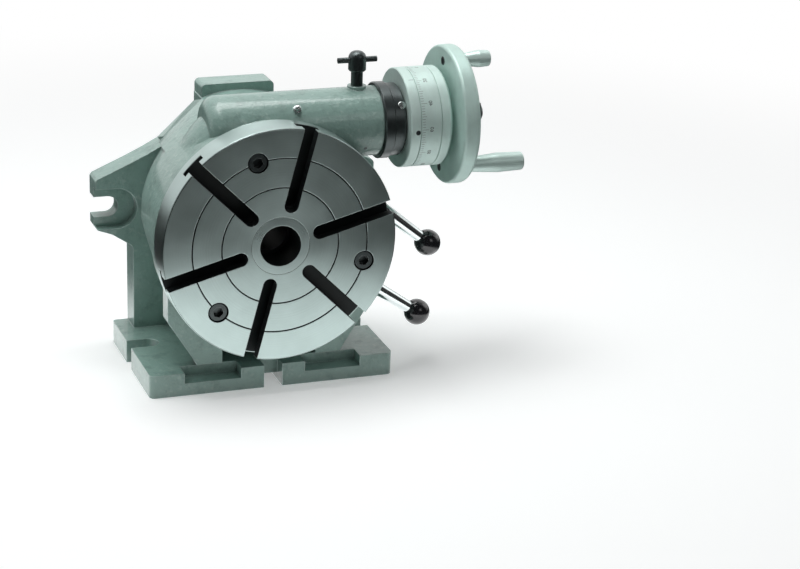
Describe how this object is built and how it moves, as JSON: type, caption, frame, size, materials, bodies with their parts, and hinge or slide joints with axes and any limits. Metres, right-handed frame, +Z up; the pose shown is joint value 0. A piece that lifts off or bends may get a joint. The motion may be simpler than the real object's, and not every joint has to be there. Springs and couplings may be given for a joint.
{
  "type": "dividing head",
  "caption": "Worm-driven rotary indexing table on an upright foot: slotted round table, worm in a cross arm with dial and handwheel, ball-ended clamp levers and a sleeve lock.",
  "frame": {"origin": "centre of the table face, on the table axis at the mouth of the centre bore", "axes": "+Z up, +X towards the handwheel, -Y out of the table face; the foot is 131.5 mm below the origin"},
  "size_m": [0.3628, 0.1557, 0.2765],
  "materials": {
    "painted_casting": "mint grey hammered paint",
    "machined_iron": "fine turned and ground",
    "black_steel": "black oxide",
    "bronze": "machined bronze",
    "bright_steel": "ground steel",
    "satin_dial": "satin chrome",
    "handwheel_finish": "satin",
    "grip_finish": "polished",
    "chrome_rod": "polished",
    "black_ball": "gloss",
    "cover_plate": "painted"
  },
  "bodies": {
    "housing": {"body_casting": "painted_casting", "rear_cover": "cover_plate", "rear_cover_screws": "black_steel", "upper_clamp_claw": "bright_steel", "lower_clamp_claw": "bright_steel", "lock_pad": "bronze"},
    "table": {"rotary_table": "machined_iron", "centre_bush": "machined_iron", "table_screws": "black_steel", "table_spindle": "machined_iron", "worm_wheel": "bronze", "wheel_screws": "black_steel", "retaining_nut": "bright_steel", "thrust_ring": "bronze"},
    "sleeve": {"eccentric_sleeve": "black_steel", "sleeve_pin": "bright_steel", "inner_worm_bush": "bronze", "outer_worm_bush": "bronze", "worm_thrust_washer": "bronze", "index_ring": "satin_dial"},
    "worm": {"worm_shaft": "bright_steel", "dial_lock_ring": "satin_dial", "handwheel": "handwheel_finish", "handwheel_key": "bright_steel", "handwheel_washer": "bright_steel", "handwheel_nut": "black_steel", "crank_handle_bolt": "bright_steel", "spinner_knob_bolt": "bright_steel"},
    "dial": {"graduated_dial": "satin_dial"},
    "crank_grip": {"crank_handle": "grip_finish"},
    "spinner_grip": {"spinner_knob": "grip_finish"},
    "upper_lever": {"upper_clamp_screw": "black_steel", "upper_lever_rod": "chrome_rod", "upper_ball_knob": "black_ball"},
    "lower_lever": {"lower_clamp_screw": "black_steel", "lower_lever_rod": "chrome_rod", "lower_ball_knob": "black_ball"},
    "sleeve_lock": {"lock_screw": "black_steel", "lock_bar": "black_steel"}
  },
  "joints": [
    {"name": "table_spin", "type": "hinge", "parent": "housing", "child": "table", "pos_m": [0, 0, 0], "axis": [0, -1, 0], "continuous": true},
    {"name": "sleeve_throw", "type": "hinge", "parent": "housing", "child": "sleeve", "pos_m": [0, 0.06, 0.084], "axis": [1, 0, 0], "range_deg": [0, 90]},
    {"name": "worm_spin", "type": "hinge", "parent": "sleeve", "child": "worm", "pos_m": [0, 0.0635, 0.084], "axis": [1, 0, 0], "continuous": true},
    {"name": "dial_setting", "type": "hinge", "parent": "worm", "child": "dial", "pos_m": [0.138, 0.0635, 0.084], "axis": [1, 0, 0], "continuous": true},
    {"name": "crank_grip_spin", "type": "hinge", "parent": "worm", "child": "crank_grip", "pos_m": [0.2, 0.0635, 0.037], "axis": [1, 0, 0], "continuous": true},
    {"name": "spinner_grip_spin", "type": "hinge", "parent": "worm", "child": "spinner_grip", "pos_m": [0.19, 0.0635, 0.131], "axis": [1, 0, 0], "continuous": true},
    {"name": "upper_lever_swing", "type": "hinge", "parent": "housing", "child": "upper_lever", "pos_m": [0.08975, 0.05, 0.02023], "axis": [0, -1, 0], "range_deg": [-20, 25]},
    {"name": "lower_lever_swing", "type": "hinge", "parent": "housing", "child": "lower_lever", "pos_m": [0.07853, 0.05, -0.04793], "axis": [0, -1, 0], "range_deg": [-15, 25]},
    {"name": "sleeve_lock_turn", "type": "hinge", "parent": "housing", "child": "sleeve_lock", "pos_m": [0.083, 0.06, 0.084], "axis": [0, 0, 1], "range_deg": [-180, 180]}
  ],
  "couplings": [
    {"joint": "worm_spin", "follows": "table_spin", "ratio": 90}
  ]
}
